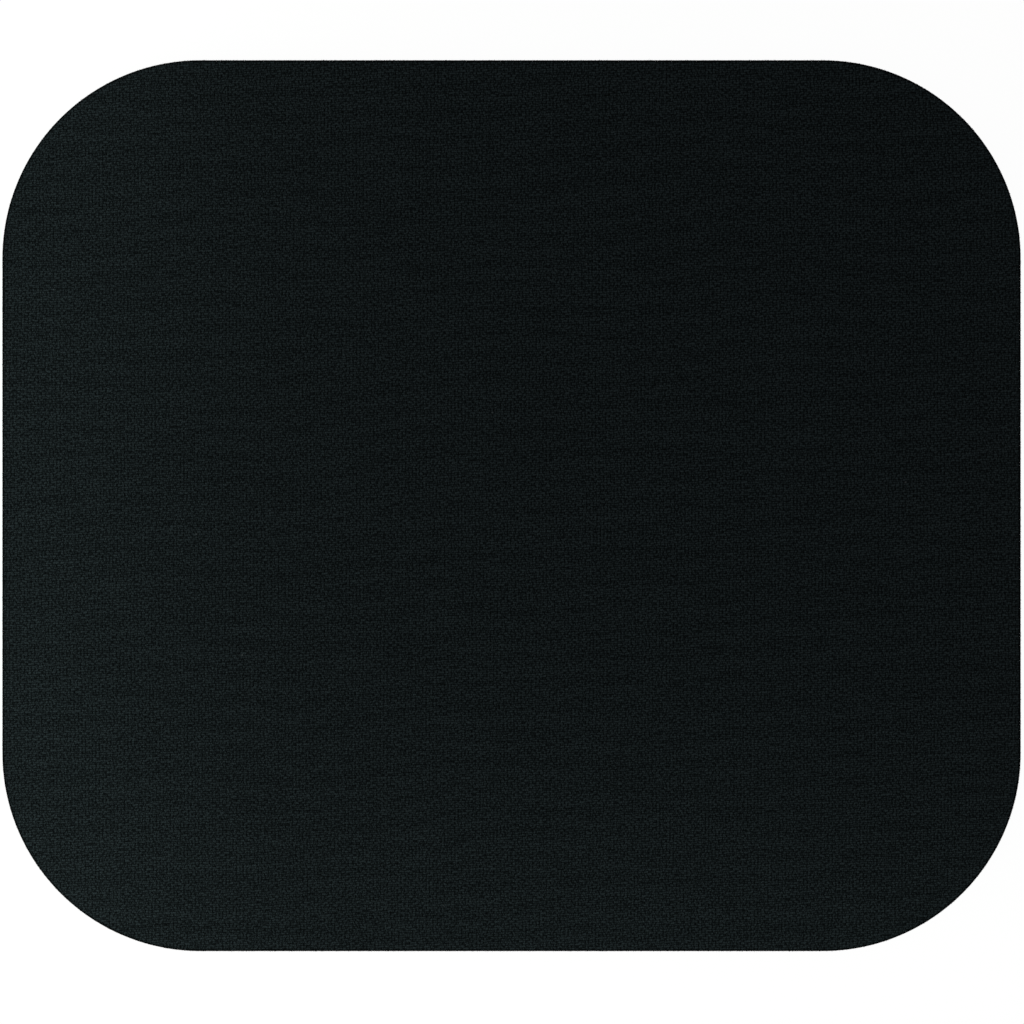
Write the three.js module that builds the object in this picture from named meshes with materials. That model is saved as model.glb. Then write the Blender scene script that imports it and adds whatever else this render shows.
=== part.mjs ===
// A cloth-topped mouse pad: a knitted face cloth, a bonding film, a sponge rubber core and a
// non-slip rubber base, laminated flat and then die-cut together to one rounded rectangle.
// Millimetres, +Z up. The origin is the middle of the underside, +X runs along the width and
// +Y points away from the user.
import * as THREE from "three";

// The outline of the die
const padWidth = 228.6;
const padDepth = 200.0;
const cornerRadius = 44.45;

// The layers: the sponge takes what the others leave of the whole thickness
const padThickness = 6.0;
const clothThickness = 0.5;
const filmThickness = 0.1;
const baseThickness = 0.8;
const bondGap = 0.02; // left at each bonded face, so that neighbours stay separate solids

// The cut edge: the die draws the upper layers down, and the cut sponge springs back inwards
const rollWidth = 0.9;
const rollDrop = 0.3;
const sideHollow = 0.35;

// Facets of each corner, of the rolled rim and of the hollow side
const cornerSteps = 16;
const rollSteps = 4;
const hollowSteps = 6;

const bondedFaces = 3;
const spongeThickness =
  padThickness - clothThickness - filmThickness - baseThickness - bondedFaces * bondGap;

// One closed ring of points along the die's outline, drawn in by an inset, at one height.
// It runs anticlockwise from above, one quarter turn round each corner.
function dieRing(inset, height) {
  const cornerX = padWidth / 2 - cornerRadius;
  const cornerY = padDepth / 2 - cornerRadius;
  const radius = cornerRadius - inset;
  const corners = [
    [cornerX, cornerY],
    [-cornerX, cornerY],
    [-cornerX, -cornerY],
    [cornerX, -cornerY],
  ];
  return corners.flatMap(([x, y], quarter) => {
    const start = (quarter * Math.PI) / 2;
    const arc = new THREE.EllipseCurve(x, y, radius, radius, start, start + Math.PI / 2);
    return arc.getPoints(cornerSteps).map((p) => new THREE.Vector3(p.x, p.y, height));
  });
}

// A face that is flat in the middle and drawn down at the cut edge along a quarter ellipse, as
// rings from the edge inwards. The height is that of the flat.
function rolledFace(height) {
  return Array.from({ length: rollSteps + 1 }, (_, step) => {
    const turn = (step / rollSteps) * (Math.PI / 2);
    const inset = rollWidth * (1 - Math.cos(turn));
    return dieRing(inset, height - rollDrop * (1 - Math.sin(turn)));
  });
}

// The cut side of the sponge, as rings from its foot up to just under the rolled rim.
function hollowSide(height) {
  return Array.from({ length: hollowSteps }, (_, step) => {
    const share = step / hollowSteps;
    return dieRing(sideHollow * Math.sin(Math.PI * share), height * share);
  });
}

// A closed layer from its rings, which run from the flat of the underside, out round the cut
// edge and in to the flat of the top.
function layerGeometry(rings) {
  const around = rings[0].length;
  const last = (rings.length - 1) * around;
  const faces = [];
  for (let first = 0; first < last; first += around) {
    for (let i = 0; i < around; i++) {
      const next = (i + 1) % around;
      const [a, b] = [first + i, first + next];
      const [c, d] = [a + around, b + around];
      faces.push(a, b, c, b, d, c);
    }
  }
  for (const [a, b, c] of THREE.ShapeUtils.triangulateShape(rings[0], [])) {
    faces.push(a, c, b);
  }
  for (const [a, b, c] of THREE.ShapeUtils.triangulateShape(rings.at(-1), [])) {
    faces.push(last + a, last + b, last + c);
  }
  const geometry = new THREE.BufferGeometry().setFromPoints(rings.flat());
  geometry.setIndex(faces);
  geometry.computeVertexNormals();
  return geometry;
}

// A layer of even thickness that follows the rolled rim.
function rolledSheet(thickness) {
  return layerGeometry([...rolledFace(0).reverse(), ...rolledFace(thickness)]);
}

// Solid rubber skin that grips the desk.
const nonslipBase = new THREE.Mesh(
  layerGeometry([dieRing(0, 0), dieRing(0, baseThickness)]),
  new THREE.MeshStandardMaterial({ color: 0x1d1e1f, roughness: 0.85, metalness: 0 }),
);
nonslipBase.name = "nonslip_base";

// Open-cell rubber sponge, vulcanised to the base.
const spongeCore = new THREE.Mesh(
  layerGeometry([
    ...hollowSide(spongeThickness - rollDrop),
    ...rolledFace(spongeThickness),
  ]),
  new THREE.MeshStandardMaterial({ color: 0x222324, roughness: 0.95, metalness: 0 }),
);
spongeCore.name = "sponge_core";
spongeCore.position.z = baseThickness + bondGap;

// Hot-melt film that bonds the cloth to the sponge.
const bondingFilm = new THREE.Mesh(
  rolledSheet(filmThickness),
  new THREE.MeshStandardMaterial({ color: 0x2b2d2e, roughness: 0.4, metalness: 0 }),
);
bondingFilm.name = "bonding_film";
bondingFilm.position.z = spongeCore.position.z + spongeThickness + bondGap;

// Knitted polyester that the mouse runs on.
const knitClothTop = new THREE.Mesh(
  rolledSheet(clothThickness),
  new THREE.MeshStandardMaterial({ color: 0x111516, roughness: 0.95, metalness: 0 }),
);
knitClothTop.name = "knit_cloth_top";
knitClothTop.position.z = bondingFilm.position.z + filmThickness + bondGap;

const mousePad = new THREE.Group();
mousePad.add(nonslipBase, spongeCore, bondingFilm, knitClothTop);

export default mousePad;
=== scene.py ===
import math

import bmesh
import bpy
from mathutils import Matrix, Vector
from mathutils import noise


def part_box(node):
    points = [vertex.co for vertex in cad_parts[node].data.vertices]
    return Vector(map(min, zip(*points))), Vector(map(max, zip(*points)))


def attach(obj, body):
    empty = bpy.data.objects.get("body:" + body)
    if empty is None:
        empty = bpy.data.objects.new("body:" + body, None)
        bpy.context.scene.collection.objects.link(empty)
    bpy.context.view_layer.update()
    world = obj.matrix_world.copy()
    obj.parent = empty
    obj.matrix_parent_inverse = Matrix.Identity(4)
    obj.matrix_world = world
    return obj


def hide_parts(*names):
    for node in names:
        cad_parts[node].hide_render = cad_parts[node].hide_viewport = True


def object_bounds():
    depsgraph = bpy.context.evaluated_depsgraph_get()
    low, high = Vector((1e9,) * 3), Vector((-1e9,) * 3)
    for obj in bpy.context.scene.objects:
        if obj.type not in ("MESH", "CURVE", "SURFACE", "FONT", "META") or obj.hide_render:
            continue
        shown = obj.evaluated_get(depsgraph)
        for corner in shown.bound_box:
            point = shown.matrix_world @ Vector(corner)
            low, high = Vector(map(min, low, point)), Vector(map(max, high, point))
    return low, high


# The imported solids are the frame, in metres: the origin is the middle of the underside, +X runs
# along the width, +Y points away from the user and +Z points up, out of the cloth.
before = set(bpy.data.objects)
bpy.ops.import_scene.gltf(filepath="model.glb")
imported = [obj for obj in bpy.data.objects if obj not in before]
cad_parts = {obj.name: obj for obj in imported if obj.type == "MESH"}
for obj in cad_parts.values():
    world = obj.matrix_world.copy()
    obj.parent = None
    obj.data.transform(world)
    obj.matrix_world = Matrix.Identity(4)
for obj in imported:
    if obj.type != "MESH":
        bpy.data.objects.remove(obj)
cad_low, cad_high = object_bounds()


# Non-slip base: a skin of solid black rubber, moulded with small raised diamonds that grip the
# desk. The sponge is vulcanised onto its flat upper side. One stroke of the die cuts every layer
# to the same outline, so the outermost diamonds are cut through.
mm = 0.001
touching = 0.001 * mm
base_low, base_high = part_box("nonslip_base")
base_corners = [v.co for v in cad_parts["nonslip_base"].data.vertices]
corner_radius = base_high.x - max(p.x for p in base_corners if base_high.y - p.y < touching)
reach_x = base_high.x - corner_radius
reach_y = base_high.y - corner_radius
arc_length = math.radians(90) * corner_radius
die_length = 4 * (arc_length + reach_x + reach_y)

diamond_pitch = 2.4 * mm
diamond_height = 0.3 * mm
diamond_foot = 0.84
diamond_top = 0.74
base_edge_step = 1.5 * mm
base_crease = 25
base_relief = 0.02 * mm
base_pebbles = {"Grain": 0.16 * mm, "Clouds": 26 * mm}
base_dust = {"Spacing": 1.1 * mm, "Radius": 0.22 * mm, "Share": 0.35}
rubber_dark = (0.0085, 0.009, 0.0094, 1)
rubber_pale = (0.0155, 0.016, 0.0166, 1)
rubber_worn = (0.027, 0.0275, 0.028, 1)
groove_dust = (0.11, 0.108, 0.1, 1)
worn_share = 0.5
dust_share = 0.5
rubber_rough = (0.7, 0.86)
worn_smoother = 0.16
pebble_weight = -0.6
speck_core = 0.4


def die_station(along):
    """The point that far along the die's outline, anticlockwise from above, and the way out there."""
    quarters = (
        (reach_x, reach_y, 2 * reach_x),
        (-reach_x, reach_y, 2 * reach_y),
        (-reach_x, -reach_y, 2 * reach_x),
        (reach_x, -reach_y, 2 * reach_y),
    )
    for quarter, (corner_x, corner_y, side) in enumerate(quarters):
        turned = min(along, arc_length) / corner_radius
        angle = math.radians(90) * quarter + turned
        out = Vector((math.cos(angle), math.sin(angle), 0))
        if along <= arc_length + side:
            ahead = Vector((-out.y, out.x, 0)) * max(along - arc_length, 0)
            return Vector((corner_x, corner_y, 0)) + corner_radius * out + ahead, out
        along -= arc_length + side
    return die_station(0)


def die_line(step):
    """Stations all round the die's outline, evenly spaced by about that step."""
    count = round(die_length / step)
    return [die_station(die_length * i / count) for i in range(count)]


def ring_at(stations, inset, height):
    """A ring of points along the outline, drawn in by an inset, at one height."""
    return [point - inset * out + Vector((0, 0, height)) for point, out in stations]


def layer_mesh(name, rings):
    """A closed mesh from rings that run from the flat underside, out round the edge and in to the top."""
    around = len(rings[0])
    points = [point for ring in rings for point in ring]
    faces = [tuple(reversed(range(around)))]
    faces.append(tuple(range(len(points) - around, len(points))))
    for first in range(0, len(points) - around, around):
        for i in range(around):
            a = first + i
            b = first + (i + 1) % around
            faces.append((a, b, b + around, a + around))
    mesh = bpy.data.meshes.new(name)
    mesh.from_pydata(points, [], faces)
    return mesh


def place(tree, kind, inputs=(), **settings):
    """A new node of a tree, with its settings made and its inputs set, or joined to sockets."""
    node = tree.nodes.new(kind)
    for name, value in settings.items():
        setattr(node, name, value)
    for key, value in dict(inputs).items():
        if isinstance(value, bpy.types.NodeSocket):
            tree.links.new(value, node.inputs[key])
        else:
            node.inputs[key].default_value = value
    return node


def join(tree, node, sockets):
    """Joins sockets to the inputs of a node, by name."""
    for label, socket in sockets.items():
        tree.links.new(socket, node.inputs[label])


def calc(tree, operation, *values):
    """The result of one sum on numbers or sockets."""
    return place(tree, "ShaderNodeMath", enumerate(values), operation=operation).outputs["Value"]


def remap(tree, value, low, high, to_low, to_high):
    """A value moved smoothly from one range to another, and held at its ends."""
    limits = {1: low, 2: high, 3: to_low, 4: to_high}
    node = place(tree, "ShaderNodeMapRange", {0: value, **limits}, interpolation_type="SMOOTHSTEP")
    return node.outputs["Result"]


def blend(tree, share, first, second):
    """A colour between two colours."""
    node = place(tree, "ShaderNodeMix", {0: share, 6: first, 7: second}, data_type="RGBA")
    return node.outputs[2]


def noise_at(tree, spot, size, detail, dimensions="3D"):
    """Smooth random values over a surface, with lumps of about that size."""
    inputs = {"Vector": spot, "Scale": calc(tree, "DIVIDE", 1.0, size), "Detail": detail}
    return place(tree, "ShaderNodeTexNoise", inputs, noise_dimensions=dimensions).outputs


def cells_at(tree, spot, size):
    """Random cells of about that size: how far off the middle is, and a colour for each cell."""
    inputs = {"Vector": spot, "Scale": calc(tree, "DIVIDE", 1.0, size)}
    return place(tree, "ShaderNodeTexVoronoi", inputs).outputs


def relief(tree, height, depth):
    """The normal of a surface with relief of that depth."""
    return place(tree, "ShaderNodeBump", {"Height": height, "Distance": depth}).outputs["Normal"]


def open_group(name, kind, inputs, outputs):
    """A new node group with named sockets: the tree, what it is given and the node that hands out."""
    tree = bpy.data.node_groups.new(name, kind)
    for label, socket in inputs.items():
        tree.interface.new_socket(label, in_out="INPUT", socket_type="NodeSocket" + socket)
    for label, socket in outputs.items():
        tree.interface.new_socket(label, in_out="OUTPUT", socket_type="NodeSocket" + socket)
    given = tree.nodes.new("NodeGroupInput").outputs
    return tree, given, tree.nodes.new("NodeGroupOutput")


def group_at(tree, group, spot, values):
    """The outputs of a shader group that is placed in a material with its own values."""
    return place(tree, "ShaderNodeGroup", {"Vector": spot, **values}, node_tree=group).outputs


def close_shape(tree, made, geometry, material):
    """Ends a geometry tree: what it repeats is made real and gets its material."""
    whole = place(tree, "GeometryNodeRealizeInstances", {"Geometry": geometry}).outputs["Geometry"]
    painted = place(tree, "GeometryNodeSetMaterial", {"Geometry": whole, "Material": material})
    join(tree, made, {"Geometry": painted.outputs["Geometry"]})


def grow(start, tree, values):
    """The plain mesh that a geometry tree makes of a start mesh, with its named inputs set."""
    maker = bpy.data.objects.new(start.name, start)
    bpy.context.scene.collection.objects.link(maker)
    modifier = maker.modifiers.new(tree.name, "NODES")
    modifier.node_group = tree
    for socket in tree.interface.items_tree:
        if socket.in_out == "INPUT" and socket.name in values:
            modifier[socket.identifier] = values[socket.name]
    depsgraph = bpy.context.evaluated_depsgraph_get()
    mesh = bpy.data.meshes.new_from_object(maker.evaluated_get(depsgraph), depsgraph=depsgraph)
    maker.modifiers.remove(modifier)
    bpy.data.objects.remove(maker)
    return mesh


def finish_shading(mesh, crease):
    """Shades a mesh smooth, apart from edges that turn by more than the crease."""
    mesh.polygons.foreach_set("use_smooth", [True] * len(mesh.polygons))
    mesh.set_sharp_from_angle(angle=math.radians(crease))


def piece_of(mesh, name):
    """An object at the origin for a finished mesh."""
    piece = bpy.data.objects.new(name, mesh)
    bpy.context.scene.collection.objects.link(piece)
    return piece


def new_finish(name, values):
    """A material, its tree, its shader with the values that are the same all over, and its spot."""
    material = bpy.data.materials.new(name)
    material.use_nodes = True
    shader = material.node_tree.nodes["Principled BSDF"]
    for label, value in values.items():
        shader.inputs[label].default_value = value
    spot = place(material.node_tree, "ShaderNodeTexCoord").outputs["Object"]
    return material, material.node_tree, shader, spot


def rubber_grain_group():
    """Shader group: the fine pebbled skin and the cloudy tone of black rubber."""
    inputs = {"Vector": "Vector", "Grain": "Float", "Clouds": "Float"}
    outputs = {"Height": "Float", "Tone": "Float"}
    tree, given, made = open_group("rubber_grain", "ShaderNodeTree", inputs, outputs)
    pebbles = cells_at(tree, given["Vector"], given["Grain"])["Distance"]
    pits = noise_at(tree, given["Vector"], given["Grain"], 3.0)["Fac"]
    height = calc(tree, "MULTIPLY_ADD", pebbles, pebble_weight, pits)
    clouds = noise_at(tree, given["Vector"], given["Clouds"], 4.0)["Fac"]
    join(tree, made, {"Height": height, "Tone": clouds})
    return tree


def specks_group():
    """Shader group: a mask of sparse specks, such as lint, chalk or dust, each of its own size."""
    inputs = {"Vector": "Vector", "Spacing": "Float", "Radius": "Float", "Share": "Float"}
    tree, given, made = open_group("specks", "ShaderNodeTree", inputs, {"Mask": "Float"})
    cells = cells_at(tree, given["Vector"], given["Spacing"])
    chance = place(tree, "ShaderNodeSeparateColor", {"Color": cells["Color"]}).outputs
    largest = calc(tree, "DIVIDE", given["Radius"], given["Spacing"])
    radius = calc(tree, "MULTIPLY", largest, chance["Green"])
    off_middle = calc(tree, "DIVIDE", cells["Distance"], radius)
    speck = remap(tree, off_middle, speck_core, 1.0, 1.0, 0.0)
    kept = calc(tree, "LESS_THAN", chance["Red"], given["Share"])
    join(tree, made, {"Mask": calc(tree, "MULTIPLY", speck, kept)})
    return tree


def diamond_tree():
    """Geometry nodes: a slab with rows of diamonds raised under it, cut to shape by a die."""
    inputs = {
        "Side": "Float",
        "Rows": "Int",
        "Thickness": "Float",
        "Height": "Float",
        "Foot": "Float",
        "Top": "Float",
        "Die": "Object",
        "Rubber": "Material",
    }
    outputs = {"Geometry": "Geometry"}
    tree, given, made = open_group("moulded_diamonds", "GeometryNodeTree", inputs, outputs)
    solid = calc(tree, "SUBTRACT", given["Thickness"], given["Height"])
    size = place(tree, "ShaderNodeCombineXYZ", {"X": given["Side"], "Y": given["Side"], "Z": solid})
    points = calc(tree, "ADD", given["Rows"], 1)
    counts = {"Size": size.outputs[0], "Vertices X": points, "Vertices Y": points}
    slab = place(tree, "GeometryNodeMeshCube", counts).outputs["Mesh"]
    middle = calc(tree, "MULTIPLY_ADD", solid, 0.5, given["Height"])
    lift = place(tree, "ShaderNodeCombineXYZ", {"Z": middle}).outputs[0]
    turned = {"Geometry": slab, "Translation": lift, "Rotation": (0, 0, math.radians(45))}
    sheet = place(tree, "GeometryNodeTransform", turned).outputs["Geometry"]
    normal = place(tree, "GeometryNodeInputNormal").outputs[0]
    facing = place(tree, "ShaderNodeSeparateXYZ", {"Vector": normal}).outputs["Z"]
    under = calc(tree, "LESS_THAN", facing, -0.5)
    for rise, share in ((0.0, given["Foot"]), (given["Height"], given["Top"])):
        raised = {"Mesh": sheet, "Selection": under, "Offset Scale": rise, "Individual": True}
        stud = place(tree, "GeometryNodeExtrudeMesh", raised)
        under = stud.outputs["Top"]
        narrowed = {"Geometry": stud.outputs["Mesh"], "Selection": under, "Scale": share}
        sheet = place(tree, "GeometryNodeScaleElements", narrowed).outputs["Geometry"]
    die = place(tree, "GeometryNodeObjectInfo", {"Object": given["Die"]})
    cut = place(tree, "GeometryNodeMeshBoolean", operation="INTERSECT", solver="MANIFOLD")
    tree.links.new(sheet, cut.inputs["Mesh 2"])
    tree.links.new(die.outputs["Geometry"], cut.inputs["Mesh 2"])
    close_shape(tree, made, cut.outputs["Mesh"], given["Rubber"])
    return tree


def base_rubber_finish():
    """Dull black rubber, rubbed smoother and greyer on the diamonds, with dust left in the grooves."""
    values = {"Specular IOR Level": 0.3, "Sheen Weight": 0.02}
    material, tree, shader, spot = new_finish("base_rubber", values)
    grain = group_at(tree, rubber_grain, spot, base_pebbles)
    height = place(tree, "ShaderNodeSeparateXYZ", {"Vector": spot}).outputs["Z"]
    worn = remap(tree, height, 0.0, 0.5 * diamond_height, 1.0, 0.0)
    groove = remap(tree, height, 0.7 * diamond_height, diamond_height, 0.0, 1.0)
    above = remap(tree, height, diamond_height, 1.4 * diamond_height, 1.0, 0.0)
    tone = blend(tree, grain["Tone"], rubber_dark, rubber_pale)
    rubbed = blend(tree, calc(tree, "MULTIPLY", worn, worn_share), tone, rubber_worn)
    dust = group_at(tree, specks, spot, base_dust)["Mask"]
    settled = calc(tree, "MULTIPLY", calc(tree, "MULTIPLY", groove, above), dust)
    dusty = blend(tree, calc(tree, "MULTIPLY", settled, dust_share), rubbed, groove_dust)
    matt = remap(tree, grain["Tone"], 0.3, 0.7, *rubber_rough)
    rough = calc(tree, "MULTIPLY_ADD", worn, -worn_smoother, matt)
    skin = relief(tree, grain["Height"], base_relief)
    join(tree, shader, {"Base Color": dusty, "Roughness": rough, "Normal": skin})
    return material


rubber_grain = rubber_grain_group()
specks = specks_group()
base_edge = die_line(base_edge_step)
die_rings = [ring_at(base_edge, 0, -base_high.z), ring_at(base_edge, 0, 2 * base_high.z)]
die = piece_of(layer_mesh("die", die_rings), "die")
diamond_side = (base_high.x + base_high.y + 4 * diamond_pitch) * math.sqrt(2)
base_values = {
    "Side": diamond_side,
    "Rows": round(diamond_side / diamond_pitch),
    "Thickness": base_high.z - base_low.z,
    "Height": diamond_height,
    "Foot": diamond_foot,
    "Top": diamond_top,
    "Die": die,
    "Rubber": base_rubber_finish(),
}
base_mesh = grow(bpy.data.meshes.new("nonslip_base_skin"), diamond_tree(), base_values)
bpy.data.objects.remove(die)
upper = bmesh.new()
upper.from_mesh(base_mesh)
flat_top = [face for face in upper.faces if face.normal.z > 0.5]
bmesh.ops.dissolve_faces(upper, faces=flat_top)
upper.to_mesh(base_mesh)
upper.free()
finish_shading(base_mesh, base_crease)
base_skin = piece_of(base_mesh, "nonslip_base_skin")
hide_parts("nonslip_base")
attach(base_skin, "root")


# Sponge core: open-cell rubber sponge, the bulk of the pad. The die shears through its bubbles, so
# the cut side shows them as pits, and it springs back into a slight hollow. Its upper rim is drawn
# down by the stroke, and the film and the cloth follow it.
sponge_low, sponge_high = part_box("sponge_core")
sponge_corners = [v.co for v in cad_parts["sponge_core"].data.vertices]
rim_height = max(p.z for p in sponge_corners if sponge_high.x - p.x < touching)
flat_reach = max(p.x for p in sponge_corners if sponge_high.z - p.z < touching)
roll_width = sponge_high.x - flat_reach
roll_drop = sponge_high.z - rim_height
waist_height = (sponge_low.z + rim_height) / 2
waist_reach = max(p.x for p in sponge_corners if abs(p.z - waist_height) < 0.1 * mm)
side_hollow = sponge_high.x - waist_reach

sponge_step = 0.15 * mm
large_bubble = 0.95 * mm
small_bubble = 0.5 * mm
pit_depth = 0.36 * mm
tear_size = 0.35 * mm
tear_depth = 0.05 * mm
roll_steps = 6
sponge_crease = 60
sponge_relief = 0.08 * mm
sponge_cells = {"Grain": 0.2 * mm, "Clouds": 9 * mm}
sponge_chalk = {"Spacing": 0.9 * mm, "Radius": 0.12 * mm, "Share": 0.12}
sponge_dark = (0.015, 0.0154, 0.0158, 1)
sponge_pale = (0.03, 0.0304, 0.031, 1)
# Painted shade: the colours of the hollows of the fine cells and of the deep open bubbles.
cell_shade_black = (0.008, 0.0083, 0.0085, 1)
pit_shade_black = (0.006, 0.0062, 0.0064, 1)
chalk_grey = (0.12, 0.118, 0.112, 1)
chalk_share = 0.35


def roll_inset(step):
    """How far a step of the rolled rim lies in from the cut edge."""
    return roll_width * (1 - math.cos(math.radians(90) * step / roll_steps))


def rolled_face(stations, height):
    """Rings of a face that is flat in the middle and drawn down at the cut edge, from the edge inwards."""
    rings = []
    for step in range(roll_steps + 1):
        drop = roll_drop * (1 - math.sin(math.radians(90) * step / roll_steps))
        rings.append(ring_at(stations, roll_inset(step), height - drop))
    return rings


def bubble_tree():
    """Geometry nodes: pits where a cut face opens the bubbles of a sponge, and a mark of their depth that
    the sponge's finish turns into painted shade.
    """
    inputs = {
        "Geometry": "Geometry",
        "Large": "Float",
        "Small": "Float",
        "Depth": "Float",
        "Tear Size": "Float",
        "Tear Depth": "Float",
        "Rubber": "Material",
    }
    outputs = {"Geometry": "Geometry"}
    tree, given, made = open_group("cut_bubbles", "GeometryNodeTree", inputs, outputs)
    spot = place(tree, "GeometryNodeInputPosition").outputs[0]
    depths = []
    for size, least, spread in ((given["Large"], 0.1, 0.5), (given["Small"], 0.3, 0.4)):
        cells = cells_at(tree, spot, size)
        chance = place(tree, "FunctionNodeSeparateColor", {"Color": cells["Color"]}).outputs["Red"]
        radius = calc(tree, "MULTIPLY_ADD", chance, spread, least)
        from_middle = calc(tree, "POWER", cells["Distance"], 2)
        chord = calc(tree, "SUBTRACT", calc(tree, "POWER", radius, 2), from_middle)
        bubble = calc(tree, "SQRT", calc(tree, "MAXIMUM", chord, 0.0))
        depths.append(calc(tree, "MULTIPLY", bubble, size))
    deepest = calc(tree, "MAXIMUM", *depths)
    deep = calc(tree, "SMOOTH_MIN", deepest, given["Depth"], given["Depth"])
    torn = noise_at(tree, spot, given["Tear Size"], 2.0)["Fac"]
    rough = calc(tree, "MULTIPLY_ADD", torn, given["Tear Depth"], deep)
    marked = place(tree, "GeometryNodeInputNamedAttribute", {"Name": "cut_face"})
    cut_face = marked.outputs["Attribute"]
    inward = calc(tree, "MULTIPLY", calc(tree, "MULTIPLY", rough, cut_face), -1)
    facing = place(tree, "GeometryNodeInputNormal").outputs[0]
    offset = place(tree, "ShaderNodeVectorMath", {0: facing, "Scale": inward}, operation="SCALE")
    share = calc(tree, "MULTIPLY", calc(tree, "DIVIDE", deep, given["Depth"]), cut_face)
    pore = {"Geometry": given["Geometry"], "Name": "pore", "Value": share}
    sponge = place(tree, "GeometryNodeStoreNamedAttribute", pore).outputs["Geometry"]
    moved = {"Geometry": sponge, "Offset": offset.outputs["Vector"]}
    pitted = place(tree, "GeometryNodeSetPosition", moved).outputs["Geometry"]
    close_shape(tree, made, pitted, given["Rubber"])
    return tree


def sponge_finish():
    """Dry charcoal sponge, with painted shade in the open bubbles and in the hollows of its fine cells,
    paler on the torn walls between them.
    """
    values = {"Roughness": 0.94, "Specular IOR Level": 0.18, "Sheen Weight": 0.03}
    material, tree, shader, spot = new_finish("sponge_rubber", values)
    grain = group_at(tree, rubber_grain, spot, sponge_cells)
    cloudy = blend(tree, grain["Tone"], sponge_dark, sponge_pale)
    # Painted shade in the hollows of the fine cells, and deeper painted shade in the open bubbles, set by
    # the depth of their pits.
    cell_shade = remap(tree, grain["Height"], 0.15, 0.6, 0.0, 0.75)
    wall_with_cell_shade = blend(tree, cell_shade, cloudy, cell_shade_black)
    pore = place(tree, "ShaderNodeAttribute", attribute_name="pore").outputs["Fac"]
    tone = blend(tree, remap(tree, pore, 0.1, 0.9, 0.0, 1.0), wall_with_cell_shade, pit_shade_black)
    chalk = group_at(tree, specks, spot, sponge_chalk)["Mask"]
    dusty = blend(tree, calc(tree, "MULTIPLY", chalk, chalk_share), tone, chalk_grey)
    hollows = calc(tree, "MULTIPLY", grain["Height"], -1)
    skin = relief(tree, hollows, sponge_relief)
    join(tree, shader, {"Base Color": dusty, "Normal": skin})
    return material


sponge_line = die_line(sponge_step)
side_height = rim_height - sponge_low.z
side_rows = round(side_height / sponge_step)
sponge_rings = []
for row in range(side_rows):
    share = row / side_rows
    hollow = side_hollow * math.sin(math.pi * share)
    sponge_rings.append(ring_at(sponge_line, hollow, sponge_low.z + share * side_height))
sponge_rings += rolled_face(sponge_line, sponge_high.z)
sponge_start = layer_mesh("sponge_core_block", sponge_rings)
cut_face = sponge_start.attributes.new("cut_face", "FLOAT", "POINT")
for row in range(1, side_rows):
    for i in range(len(sponge_line)):
        cut_face.data[row * len(sponge_line) + i].value = 1.0
sponge_values = {
    "Large": large_bubble,
    "Small": small_bubble,
    "Depth": pit_depth,
    "Tear Size": tear_size,
    "Tear Depth": tear_depth,
    "Rubber": sponge_finish(),
}
sponge_mesh = grow(sponge_start, bubble_tree(), sponge_values)
finish_shading(sponge_mesh, sponge_crease)
sponge_block = piece_of(sponge_mesh, "sponge_core_block")
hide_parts("sponge_core")
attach(sponge_block, "root")


# Bonding film: a hot-melt adhesive web, laid between sponge and cloth and pressed hot. Only its cut
# edge shows, as a thin satin line that wanders in and out where the melt was squeezed.
film_low, film_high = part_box("bonding_film")
film_step = 0.8 * mm
film_wander = 0.12 * mm
film_wave = 4 * mm
film_crease = 40
film_relief = 0.02 * mm
film_rough = (0.32, 0.5)
film_bubbles = {"Grain": 0.25 * mm, "Clouds": 5 * mm}
film_dark = (0.018, 0.0195, 0.02, 1)
film_pale = (0.032, 0.034, 0.035, 1)


def film_finish():
    """Smoky hot-melt plastic with a satin skin and small bubbles in it."""
    material, tree, shader, spot = new_finish("hot_melt_film", {"Specular IOR Level": 0.4})
    grain = group_at(tree, rubber_grain, spot, film_bubbles)
    tone = blend(tree, grain["Tone"], film_dark, film_pale)
    satin = remap(tree, grain["Tone"], 0.3, 0.7, *film_rough)
    skin = relief(tree, grain["Height"], film_relief)
    join(tree, shader, {"Base Color": tone, "Roughness": satin, "Normal": skin})
    return material


film_line = []
for point, out in die_line(film_step):
    drawn_in = film_wander * (0.5 + noise.noise(point / film_wave))
    film_line.append((point - max(drawn_in, 0.0) * out, out))
film_bottom = film_low.z + roll_drop
film_rings = rolled_face(film_line, film_bottom)[::-1] + rolled_face(film_line, film_high.z)
film_mesh = layer_mesh("bonding_film_web", film_rings)
film_mesh.materials.append(film_finish())
finish_shading(film_mesh, film_crease)
film_web = piece_of(film_mesh, "bonding_film_web")
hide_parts("bonding_film")
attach(film_web, "root")


# Face cloth: a fine knit of black polyester that the mouse runs on. Its face is short floats of
# yarn, laid row by row in brick bond. It is bonded flat to the film all over and left raw at the
# edge, where the die has drawn it down; a band of painted shade darkens that rim.
cloth_low, cloth_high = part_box("knit_cloth_top")
cloth_bottom = cloth_low.z + roll_drop
cloth_step = 1.2 * mm
cloth_crease = 50
# Painted shade along the cut rim: how far in it reaches and how dark it is at the edge.
rim_shade_width = 0.62 * mm
rim_shade_tone = 0.08
float_length = 1.582 * mm
row_height = 0.522 * mm
row_rise = math.tan(math.radians(2.6))
row_waver = 1.5 * mm
waver_size = 45 * mm
float_slack = 0.5 * mm
slack_size = 1.3 * mm
tone_length = 14 * mm
band_rows = 10.8
band_stray = 2.5
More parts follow.
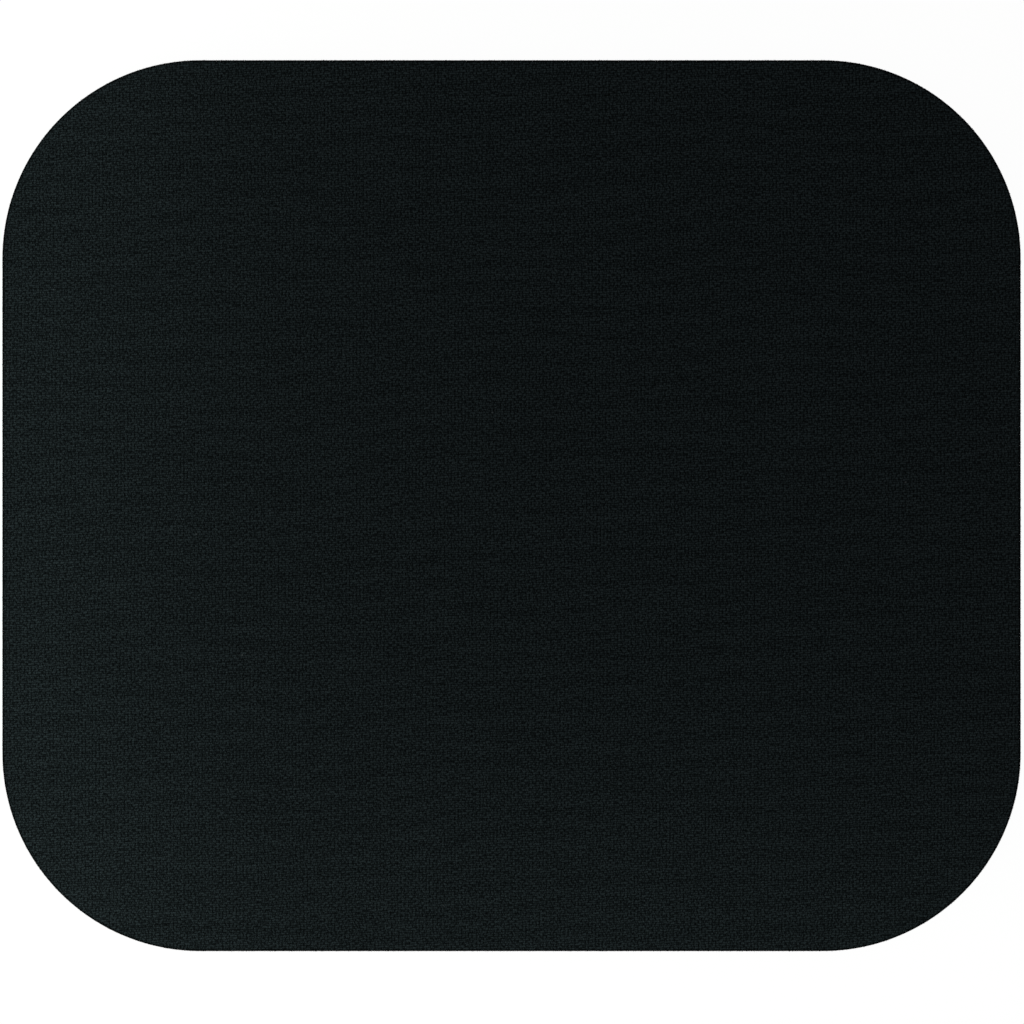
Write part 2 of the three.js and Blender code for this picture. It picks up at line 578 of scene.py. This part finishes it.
# The floats' relief, which the knit's finish also uses as colour: painted shade between the rows and at
# the float ends, and a painted highlight near each float's left end.
float_ends = (0.38, 0.48)
end_height = 0.08
lit_end_place = 0.2
swell_and_highlight_middle = 0.7
swell_and_highlight_waves = ((1, 0.08), (2, 0.08), (3, 0.1))
crown_power = 1.15
strand_count = (2.0, 10.0)
fuzz_size = (0.38 * mm, 0.62 * mm)
streak_size = (26 * mm, 9 * mm)
streak_turn = math.radians(-4)
yarn_relief = 0.13 * mm
strand_relief = 0.3
bundle_size = 0.16 * mm
bundle_relief = 0.06 * mm
cut_filament = 0.03 * mm
cloth_lint = {"Spacing": 5.5 * mm, "Radius": 0.32 * mm, "Share": 0.4}
# The darkest knit colour stands for painted shade between the floats and at the rim, and is also the dark
# end of the yarn's own tone.
yarn_dark_and_gap_shade = (0.00035, 0.0006, 0.00065, 1)
yarn_black = (0.0111, 0.01562, 0.0171, 1)
lint_grey = (0.05, 0.056, 0.058, 1)
lint_share = 0.35
# The cut ends' colours: the dark one is also painted shade between the bundles.
cut_dark_and_shade = (0.0012, 0.0016, 0.0017, 1)
cut_pale = (0.0078, 0.0105, 0.011, 1)


def flat_spot(tree, x, y):
    """A spot on a flat sheet from its two distances."""
    return place(tree, "ShaderNodeCombineXYZ", {"X": x, "Y": y}).outputs["Vector"]


def drawn_out(tree, spot, size, turn):
    """A spot measured in lumps that are that wide and that deep, turned by an angle."""
    scale = (1 / size[0], 1 / size[1], 1.0)
    inputs = {"Vector": spot, "Scale": scale, "Rotation": (0, 0, turn)}
    return place(tree, "ShaderNodeMapping", inputs).outputs["Vector"]


def float_knit_group():
    """Shader group: floats of yarn in rows, each row half a float off the next, none quite straight."""
    sizes = ("Float", "Row", "Rise", "Waver", "Waver Size", "Slack", "Slack Size", "Tone Length")
    inputs = {"Vector": "Vector", **{label: "Float" for label in (*sizes, "Band Rows")}}
    marks = ("Height", "Strand", "Float Tone", "Row Tone", "Band")
    outputs = {label: "Float" for label in marks}
    tree, given, made = open_group("float_knit", "ShaderNodeTree", inputs, outputs)
    spot = place(tree, "ShaderNodeSeparateXYZ", {"Vector": given["Vector"]}).outputs
    drift = noise_at(tree, given["Vector"], given["Waver Size"], 3.0)["Color"]
    jostle = noise_at(tree, given["Vector"], given["Slack Size"], 1.0, "2D")["Color"]
    pull = place(tree, "ShaderNodeSeparateColor", {"Color": drift}).outputs
    nudge = place(tree, "ShaderNodeSeparateColor", {"Color": jostle}).outputs
    shifts = []
    for tone in ("Red", "Green"):
        swayed = calc(tree, "MULTIPLY", calc(tree, "SUBTRACT", pull[tone], 0.5), given["Waver"])
        loose = calc(tree, "SUBTRACT", nudge[tone], 0.5)
        shifts.append(calc(tree, "MULTIPLY_ADD", loose, given["Slack"], swayed))
    waver, sway = shifts
    level = calc(tree, "SUBTRACT", spot["Y"], calc(tree, "MULTIPLY", spot["X"], given["Rise"]))
    rows = calc(tree, "DIVIDE", calc(tree, "ADD", level, waver), given["Row"])
    floats = calc(tree, "DIVIDE", calc(tree, "ADD", spot["X"], sway), given["Float"])
    row = calc(tree, "FLOOR", rows)
    laid = calc(tree, "MULTIPLY_ADD", row, 0.5, floats)

    own_place = flat_spot(tree, calc(tree, "FLOOR", laid), row)
    chance = place(tree, "ShaderNodeTexWhiteNoise", {"Vector": own_place}, noise_dimensions="2D")
    along = calc(tree, "FRACT", laid)
    across = calc(tree, "FRACT", rows)
    # As colour this height is painted shade between the rows and at the float ends, and a painted
    # highlight near the left end of each float, as if lit by the low left strip; as relief it feeds the
    # bump.
    arch = calc(tree, "MULTIPLY", across, calc(tree, "SUBTRACT", 1.0, across))
    crown = calc(tree, "POWER", calc(tree, "MULTIPLY", arch, 4.0), crown_power)
    from_middle = calc(tree, "ABSOLUTE", calc(tree, "SUBTRACT", along, 0.5))
    ends = remap(tree, from_middle, *float_ends, 1.0, end_height)
    from_lit_end = calc(tree, "SUBTRACT", along, lit_end_place)
    swell_and_highlight = swell_and_highlight_middle
    for waves, swing in swell_and_highlight_waves:
        wave = calc(tree, "COSINE", calc(tree, "MULTIPLY", from_lit_end, 2 * math.pi * waves))
        swell_and_highlight = calc(tree, "MULTIPLY_ADD", wave, swing, swell_and_highlight)
    height = calc(tree, "MULTIPLY", calc(tree, "MULTIPLY", ends, swell_and_highlight), crown)

    stretch = calc(tree, "DIVIDE", spot["X"], given["Tone Length"])
    uneven = flat_spot(tree, stretch, calc(tree, "MULTIPLY", rows, 0.9))
    row_tone = noise_at(tree, uneven, 1.0, 0.0, "2D")["Fac"]
    lengthwise = calc(tree, "MULTIPLY", floats, strand_count[0])
    crosswise = calc(tree, "MULTIPLY", rows, strand_count[1])
    strand = noise_at(tree, flat_spot(tree, lengthwise, crosswise), 1.0, 1.0, "2D")["Fac"]
    strayed = calc(tree, "MULTIPLY", calc(tree, "SUBTRACT", pull["Blue"], 0.5), band_stray)
    turns = calc(tree, "ADD", calc(tree, "DIVIDE", rows, given["Band Rows"]), strayed)
    band = calc(tree, "SINE", calc(tree, "MULTIPLY", turns, 2 * math.pi))
    made_marks = (height, strand, chance.outputs["Value"], row_tone, band)
    join(tree, made, dict(zip(marks, made_marks)))
    return tree


def knit_finish():
    """Black polyester knit with a cold cast: painted shade between the floats, a painted highlight near
    each float's left end and painted shade along the cut rim, streaked, with a little lint.
    """
    values = {
        "Roughness": 0.92,
        "Specular IOR Level": 0.006,
        "Sheen Weight": 0.008,
        "Sheen Roughness": 0.6,
    }
    material, tree, shader, spot = new_finish("knit_cloth", values)
    knit_values = {
        "Float": float_length,
        "Row": row_height,
        "Rise": row_rise,
        "Waver": row_waver,
        "Waver Size": waver_size,
        "Slack": float_slack,
        "Slack Size": slack_size,
        "Tone Length": tone_length,
        "Band Rows": band_rows,
    }
    knit = group_at(tree, float_knit_group(), spot, knit_values)
    streak = noise_at(tree, drawn_out(tree, spot, streak_size, streak_turn), 1.0, 1.5, "2D")["Fac"]
    fuzz = noise_at(tree, drawn_out(tree, spot, fuzz_size, 0.0), 1.0, 0.0, "2D")["Fac"]
    # The knit's height made into painted shade and highlight, then the tone that differs at random laid
    # over it.
    tone_and_painted_shade = calc(tree, "MULTIPLY_ADD", knit["Height"], 0.85, 0.1)
    uneven = (
        (knit["Float Tone"], 0.0, 1.0, 0.155),
        (knit["Row Tone"], 0.25, 0.75, 0.075),
        (knit["Band"], -1.0, 1.0, 0.066),
        (streak, 0.3, 0.7, 0.04),
        (knit["Strand"], 0.3, 0.7, 0.55),
        (fuzz, 0.2, 0.8, 0.68),
    )
    for mark, low, high, swing in uneven:
        tone_and_painted_shade = calc(tree, "MULTIPLY", tone_and_painted_shade, remap(tree, mark, low, high, 1 - swing, 1 + swing))
    # Painted shade along the cut rim, darkest at the edge.
    rim = place(tree, "ShaderNodeAttribute", attribute_name="rim").outputs["Fac"]
    painted_rim_shade = calc(tree, "MULTIPLY", tone_and_painted_shade, remap(tree, rim, 0.0, 1.0, 1.0, rim_shade_tone))
    yarn_with_shade = blend(tree, painted_rim_shade, yarn_dark_and_gap_shade, yarn_black)
    lint = group_at(tree, specks, spot, cloth_lint)["Mask"]
    linty = blend(tree, calc(tree, "MULTIPLY", lint, lint_share), yarn_with_shade, lint_grey)
    raised = calc(tree, "MULTIPLY_ADD", knit["Strand"], strand_relief, knit["Height"])
    join(tree, shader, {"Base Color": linty, "Normal": relief(tree, raised, yarn_relief)})
    return material


def cut_yarn_finish():
    """The cut ends of black yarns: round bundles of filaments, with painted shade between them."""
    values = {"Roughness": 0.85, "Specular IOR Level": 0.1, "Sheen Weight": 0.02}
    material, tree, shader, spot = new_finish("cut_yarn", values)
    # Painted shade between the bundles, with the filaments' own tone over it; the same pattern gives the
    # bump.
    bundle = remap(tree, cells_at(tree, spot, bundle_size)["Distance"], 0.1, 0.75, 1.0, 0.0)
    strand = remap(tree, noise_at(tree, spot, cut_filament, 1.0)["Fac"], 0.3, 0.7, 0.3, 1.0)
    tone = calc(tree, "MULTIPLY", bundle, strand)
    cut_tone = blend(tree, tone, cut_dark_and_shade, cut_pale)
    join(tree, shader, {"Base Color": cut_tone, "Normal": relief(tree, tone, bundle_relief)})
    return material


def cloth_mesh_of(stations):
    """The cloth as a closed sheet with a rolled rim, a mark for the painted shade along that rim, and its
    cut wall marked for the second finish.
    """
    rings = rolled_face(stations, cloth_bottom)[::-1] + rolled_face(stations, cloth_high.z)
    sheet = layer_mesh("knit_cloth_sheet", rings)
    rim = sheet.attributes.new("rim", "FLOAT", "POINT")
    for ring, around in enumerate(rings):
        # Painted shade along the rim: full at the cut edge, fading out over its width.
        step = abs(ring - roll_steps - 0.5) - 0.5
        painted_rim_shade = max(1 - (roll_inset(step) / rim_shade_width) ** 2, 0.0)
        for i in range(len(around)):
            rim.data[ring * len(around) + i].value = painted_rim_shade
    walls = [face for face in sheet.polygons if abs(face.normal.z) < 0.1]
    for face in walls:
        face.material_index = 1
    return sheet


cloth_mesh = cloth_mesh_of(die_line(cloth_step))
cut_yarn = cut_yarn_finish()
cloth_mesh.materials.append(knit_finish())
cloth_mesh.materials.append(cut_yarn)
finish_shading(cloth_mesh, cloth_crease)
cloth_sheet = piece_of(cloth_mesh, "knit_cloth_sheet")
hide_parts("knit_cloth_top")
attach(cloth_sheet, "root")


# Cut yarns: where the die sheared the cloth, the ends of its yarns stand out of the raw edge as
# short blunt stubs, with a few single filaments that sprang loose. They are part of the cloth.
yarn_step = 0.26 * mm
yarn_radius = 0.07 * mm
yarn_length = 0.18 * mm
yarn_sunk = 0.12 * mm
yarn_spread = 0.32 * (cloth_high.z - cloth_bottom)
yarn_tip = 0.85
filament_step = 0.6 * mm
filament_radius = 0.008 * mm
filament_length = 0.4 * mm


def stub_tree():
    """Geometry nodes: a tapered stub at each point, turned outwards and a little astray."""
    inputs = {
        "Geometry": "Geometry",
        "Radius": "Float",
        "Tip": "Float",
        "Length": "Float",
        "Sides": "Int",
        "Spread": "Float",
        "Astray": "Float",
        "Seed": "Int",
        "Yarn": "Material",
    }
    tree, given, made = open_group("cut_yarns", "GeometryNodeTree", inputs, {"Geometry": "Geometry"})
    shape = {
        "Vertices": given["Sides"],
        "Side Segments": 1,
        "Radius Top": calc(tree, "MULTIPLY", given["Radius"], given["Tip"]),
        "Radius Bottom": given["Radius"],
        "Depth": given["Length"],
    }
    stub = place(tree, "GeometryNodeMeshCone", shape).outputs["Mesh"]

    def chance(offset, low, high, kind="FLOAT"):
        """A value of its own for each point, from the seed."""
        node = place(tree, "FunctionNodeRandomValue", data_type=kind)
        ends = [s for s in node.inputs if s.enabled and s.name in ("Min", "Max")]
        ends[0].default_value = low
        ends[1].default_value = high
        join(tree, node, {"Seed": calc(tree, "ADD", given["Seed"], offset)})
        return next(s for s in node.outputs if s.enabled)

    def scaled(vector, size):
        """A vector made longer or shorter."""
        node = place(tree, "ShaderNodeVectorMath", {0: vector, "Scale": size}, operation="SCALE")
        return node.outputs["Vector"]

    shift = chance(0, (-0.4, -0.4, -1), (0.4, 0.4, 1), "FLOAT_VECTOR")
    moved = {"Geometry": given["Geometry"], "Offset": scaled(shift, given["Spread"])}
    points = place(tree, "GeometryNodeSetPosition", moved).outputs["Geometry"]
    marked = place(tree, "GeometryNodeInputNamedAttribute", {"Name": "outward"}, data_type="FLOAT_VECTOR")
    stray = scaled(chance(1, (-1, -1, -1), (1, 1, 1), "FLOAT_VECTOR"), given["Astray"])
    aim = place(tree, "ShaderNodeVectorMath", {0: marked.outputs["Attribute"], 1: stray})
    turned = place(tree, "FunctionNodeAlignRotationToVector", {"Vector": aim.outputs[0]}, axis="Z")
    size = place(tree, "ShaderNodeCombineXYZ")
    for axis, offset in (("X", 2), ("Y", 3), ("Z", 4)):
        join(tree, size, {axis: chance(offset, 0.65, 1.2)})
    set_out = {
        "Points": points,
        "Instance": stub,
        "Rotation": turned.outputs["Rotation"],
        "Scale": size.outputs["Vector"],
    }
    stubs = place(tree, "GeometryNodeInstanceOnPoints", set_out).outputs["Instances"]
    close_shape(tree, made, stubs, given["Yarn"])
    return tree


def yarn_points(name, step):
    """Points along the middle of the cloth's cut edge, each with the way out."""
    stations = die_line(step)
    middle = (cloth_low.z + cloth_high.z - roll_drop) / 2
    points = bpy.data.meshes.new(name)
    points.from_pydata(ring_at(stations, yarn_sunk, middle), [], [])
    outward = points.attributes.new("outward", "FLOAT_VECTOR", "POINT")
    for i, (point, out) in enumerate(stations):
        outward.data[i].vector = out
    return points


yarn_stubs = stub_tree()
yarn_kinds = (
    ("cut_yarn_ends", yarn_step, yarn_radius, yarn_length, 6, 0.3, 5),
    ("loose_filaments", filament_step, filament_radius, filament_length, 4, 0.9, 23),
)
for name, step, radius, length, sides, astray, seed in yarn_kinds:
    stub_values = {
        "Radius": radius,
        "Tip": yarn_tip,
        "Length": length,
        "Sides": sides,
        "Spread": yarn_spread,
        "Astray": astray,
        "Seed": seed,
        "Yarn": cut_yarn,
    }
    stub_mesh = grow(yarn_points(name, step), yarn_stubs, stub_values)
    finish_shading(stub_mesh, cloth_crease)
    stubs = piece_of(stub_mesh, name)
    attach(stubs, "root")


# Studio: a white floor just under the pad, which stays white to the camera but keeps a soft shadow,
# a white world, one broad lamp overhead and two low strips just off the left and the front edge,
# with the slight green of tube light.
floor_size = 6.0
floor_gap = 0.03 * mm
floor_paint = (0.9, 0.9, 0.9, 1)
near_white = 0.96
tucked_in = 0.15 * mm
shadow_reach = 0.12
shadow_end = 0.45
world_light = 0.485
overhead_level = 0.9
overhead_side = 0.9
overhead_watts = 2.4
strip_level = 50 * mm
strip_aim = 15 * mm
strip_width = 40 * mm
strip_tint = (0.91, 1.0, 0.92)
left_gap = 16 * mm
left_length = 0.52
left_watts = 0.273
front_gap = 25 * mm
front_middle = -60 * mm
front_length = 0.4
front_watts = 0.122


def studio_white(tree):
    """One for rays that see the studio itself, nought for rays that carry its light."""
    path = place(tree, "ShaderNodeLightPath").outputs
    mirrored = calc(tree, "MAXIMUM", path["Is Glossy Ray"], path["Is Transmission Ray"])
    return calc(tree, "MAXIMUM", path["Is Camera Ray"], mirrored)


def floor_finish():
    """White paint that looks plain white, apart from a soft shadow near the pad and the dark under it."""
    material = bpy.data.materials.new("floor_white")
    material.use_nodes = True
    tree = material.node_tree
    tree.nodes.remove(tree.nodes["Principled BSDF"])
    paint = place(tree, "ShaderNodeBsdfDiffuse", {"Color": floor_paint}).outputs[0]
    glow = place(tree, "ShaderNodeEmission", {"Color": (1, 1, 1, 1), "Strength": 1.0}).outputs[0]
    spot = place(tree, "ShaderNodeTexCoord").outputs["Object"]
    corner = (reach_x, reach_y, 0)
    for operation, other in (("ABSOLUTE", corner), ("SUBTRACT", corner), ("MAXIMUM", (0, 0, 0))):
        spot = place(tree, "ShaderNodeVectorMath", {0: spot, 1: other}, operation=operation).outputs[0]
    past_corner = place(tree, "ShaderNodeVectorMath", {0: spot}, operation="LENGTH").outputs["Value"]
    away = calc(tree, "SUBTRACT", past_corner, corner_radius)
    outside = remap(tree, away, -tucked_in, 0.0, 0.0, 1.0)
    white = remap(tree, away, shadow_reach, shadow_end, near_white, 1.0)
    share = calc(tree, "MULTIPLY", studio_white(tree), calc(tree, "MULTIPLY", outside, white))
    both = place(tree, "ShaderNodeMixShader", {0: share, 1: paint, 2: glow}).outputs[0]
    join(tree, tree.nodes["Material Output"], {"Surface": both})
    return material


def area_lamp(name, spot, aim, width, height, watts, tint=(1, 1, 1)):
    """A soft box at a spot, turned to an aim."""
    light = bpy.data.lights.new(name, "AREA")
    light.shape = "RECTANGLE"
    light.size = width
    light.size_y = height
    light.energy = watts
    light.color = tint
    lamp = bpy.data.objects.new(name, light)
    lamp.location = spot
    lamp.rotation_euler = (Vector(aim) - Vector(spot)).to_track_quat("-Z", "Y").to_euler()
    lamp.visible_camera = False
    bpy.context.scene.collection.objects.link(lamp)


half = floor_size / 2
floor_corners = ((-half, -half), (half, -half), (half, half), (-half, half))
floor_mesh = bpy.data.meshes.new("floor")
floor_mesh.from_pydata([(x, y, cad_low.z - floor_gap) for x, y in floor_corners], [], [(0, 1, 2, 3)])
floor_mesh.materials.append(floor_finish())
piece_of(floor_mesh, "floor")

world = bpy.data.worlds.new("studio")
bpy.context.scene.world = world
world.use_nodes = True
sky = world.node_tree.nodes["Background"]
sky.inputs["Color"].default_value = (1, 1, 1, 1)
seen = studio_white(world.node_tree)
sky_strength = calc(world.node_tree, "MULTIPLY_ADD", seen, 1 - world_light, world_light)
join(world.node_tree, sky, {"Strength": sky_strength})

overhead_spot = (0, 0, overhead_level)
left_spot = (cad_low.x - left_gap, 0, strip_level)
left_aim = (0, 0, strip_aim)
front_spot = (front_middle, cad_low.y - front_gap, strip_level)
front_aim = (front_middle, 0, strip_aim)
area_lamp("overhead_box", overhead_spot, (0, 0, 0), overhead_side, overhead_side, overhead_watts)
area_lamp("left_strip", left_spot, left_aim, left_length, strip_width, left_watts, strip_tint)
area_lamp("front_strip", front_spot, front_aim, front_length, strip_width, front_watts, strip_tint)


# Camera: straight above the pad, far enough off for the flat look of a catalogue picture.
lens = 100.0
sensor = 36.0
frame_width = 229.88 * mm
frame_middle = (0.106 * mm, -1.42 * mm)
rim_level = cloth_high.z - roll_drop
camera_data = bpy.data.cameras.new("camera")
camera_data.lens = lens
camera_data.sensor_width = sensor
camera = bpy.data.objects.new("camera", camera_data)
camera.location = (*frame_middle, rim_level + frame_width * lens / sensor)
bpy.context.scene.collection.objects.link(camera)
bpy.context.scene.camera = camera
bpy.context.scene.view_settings.view_transform = "Standard"
